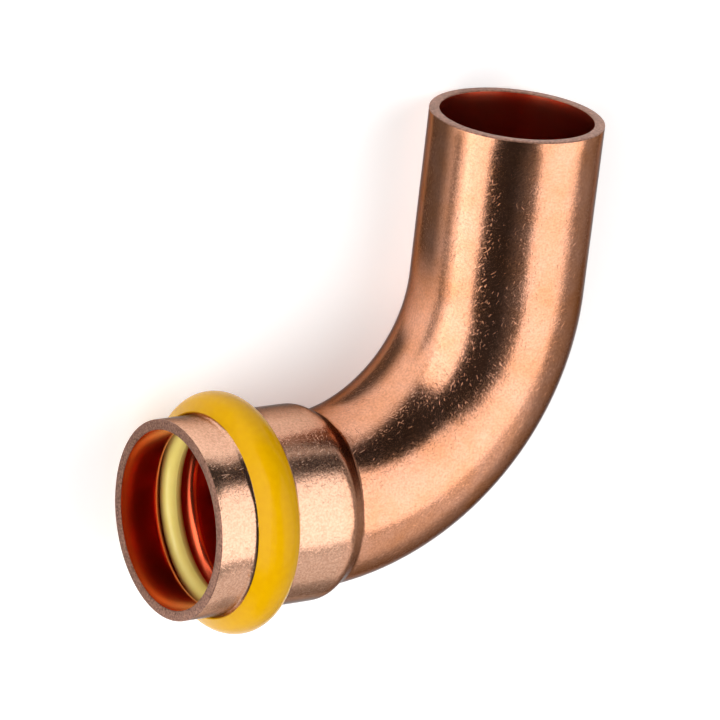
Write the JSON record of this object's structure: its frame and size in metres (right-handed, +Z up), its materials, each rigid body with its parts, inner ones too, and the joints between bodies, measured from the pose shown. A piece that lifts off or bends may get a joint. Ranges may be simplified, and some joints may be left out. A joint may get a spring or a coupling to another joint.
{
  "type": "press fit pipe elbow",
  "caption": "Right-angle copper press fit elbow for gas pipe: a beaded socket with its sealing ring and a yellow marking ring on one leg, a plain spigot on the other.",
  "frame": {"origin": "on the floor, under the middle of the whole elbow's box, as it lies on its side", "axes": "+Y along the spigot and out of its end, +Z up from the floor; the socket's mouth faces -X and tips up by 6 degrees"},
  "size_m": [0.0576, 0.0636, 0.0301],
  "materials": {
    "copper": "satin copper with short fine scratches",
    "seal_rubber": "smooth olive-yellow rubber with a soft sheen",
    "marking_yellow": "glossy signal yellow"
  },
  "bodies": {
    "root": {"elbow_body": "copper", "sealing_ring": "seal_rubber", "marking_ring": "marking_yellow"}
  },
  "joints": []
}
